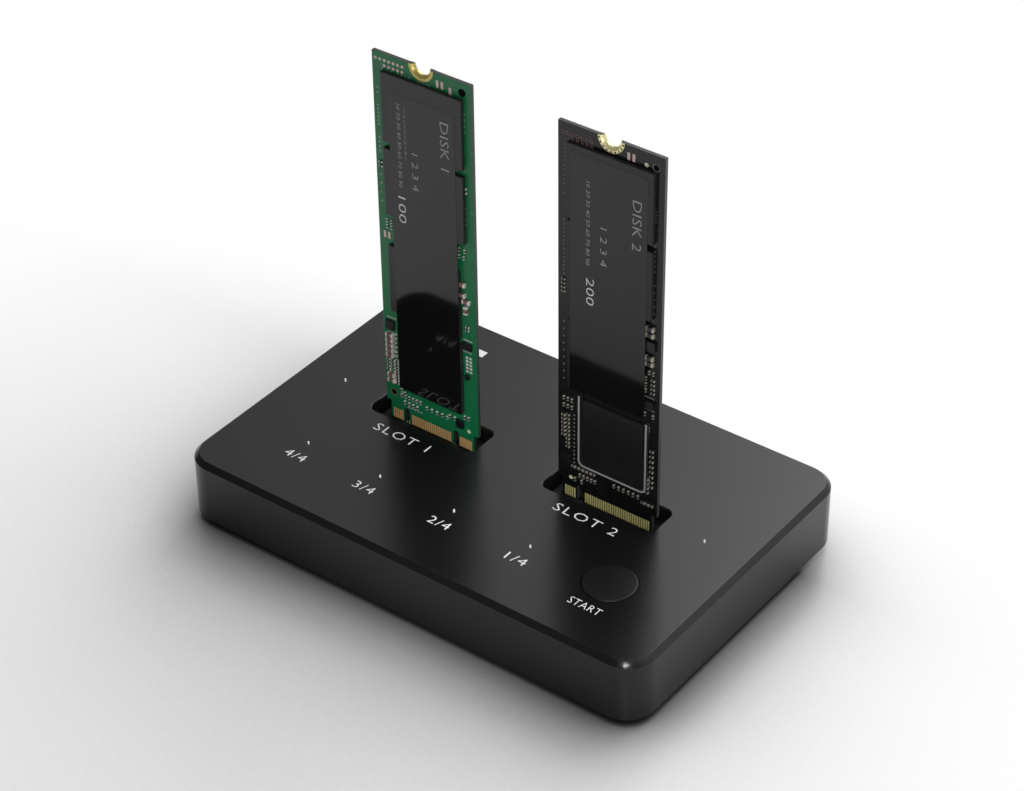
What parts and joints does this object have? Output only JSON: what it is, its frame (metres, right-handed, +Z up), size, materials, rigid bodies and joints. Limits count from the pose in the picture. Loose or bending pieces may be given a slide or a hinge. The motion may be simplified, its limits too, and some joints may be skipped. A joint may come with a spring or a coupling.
{
  "type": "drive duplicator",
  "caption": "Low rounded black duplicator housing with two upright drive cards in its slots, a round copy button, a row of progress lights and sockets in its back wall.",
  "frame": {"origin": "centre of the footprint, on the table under the rubber feet", "axes": "+X along the long front side to the right, +Y to the back wall with the sockets, +Z up"},
  "size_m": [0.1036, 0.067, 0.0911],
  "materials": {
    "housing_black": "satin, fine moulded texture",
    "cover_black": "matte",
    "foot_rubber": "matte",
    "board_green": "green solder mask",
    "board_black": "black solder mask",
    "connector_black": "moulded",
    "contact_gold": "gold plated",
    "bright_metal": "bright",
    "light_guide_clear": "milky clear",
    "lamp_white": "gloss",
    "chip_black": "moulded resin",
    "label_grey": "glossy film"
  },
  "bodies": {
    "housing": {"bottom_cover": "cover_black", "bridge_chips": "chip_black", "copy_controller_chip": "chip_black", "copy_switch_body": "connector_black", "copy_switch_dome": "bright_metal", "copy_switch_legs": "bright_metal", "crystals": "bright_metal", "data_socket_shell": "bright_metal", "data_socket_tongue": "connector_black", "indicator_lamps": "lamp_white", "main_board": "board_green", "power_capacitors": "chip_black", "power_coils": "chip_black", "power_jack_blade": "bright_metal", "power_jack_body": "connector_black", "power_jack_pin": "bright_metal", "power_switch_base": "connector_black", "power_switch_can": "bright_metal", "progress_light_guide": "light_guide_clear", "rubber_feet": "foot_rubber", "slot_a_connector": "connector_black", "slot_a_front_contacts": "contact_gold", "slot_a_rear_contacts": "contact_gold", "slot_b_connector": "connector_black", "slot_b_front_contacts": "contact_gold", "slot_b_rear_contacts": "contact_gold", "slot_light_guides": "light_guide_clear", "top_shell": "housing_black"},
    "drive_a": {"drive_a_board": "board_green", "drive_a_cache_chip": "chip_black", "drive_a_controller": "chip_black", "drive_a_end_ring": "contact_gold", "drive_a_front_pads": "contact_gold", "drive_a_label": "label_grey", "drive_a_memory_chips": "chip_black", "drive_a_rear_pads": "contact_gold"},
    "drive_b": {"drive_b_board": "board_black", "drive_b_cache_chip": "chip_black", "drive_b_controller": "chip_black", "drive_b_controller_frame": "bright_metal", "drive_b_end_ring": "contact_gold", "drive_b_front_pads": "contact_gold", "drive_b_label": "label_grey", "drive_b_memory_chips": "chip_black", "drive_b_rear_pads": "contact_gold"},
    "copy_button": {"copy_button_cap": "housing_black", "copy_switch_plunger": "connector_black"},
    "power_knob": {"power_switch_knob": "cover_black"}
  },
  "joints": [
    {"name": "drive_a_slide", "type": "slide", "parent": "housing", "child": "drive_a", "axis": [0, 0, 1], "range_m": [-0.0034, 0.015]},
    {"name": "drive_b_slide", "type": "slide", "parent": "housing", "child": "drive_b", "axis": [0, 0, 1], "range_m": [-0.0034, 0.015]},
    {"name": "copy_button_press", "type": "slide", "parent": "housing", "child": "copy_button", "axis": [0, 0, -1], "range_m": [0, 0.0005], "stiffness_N_per_m": 1500, "springref_m": -0.0003},
    {"name": "power_switch_slide", "type": "slide", "parent": "housing", "child": "power_knob", "axis": [1, 0, 0], "range_m": [0, 0.002]}
  ]
}
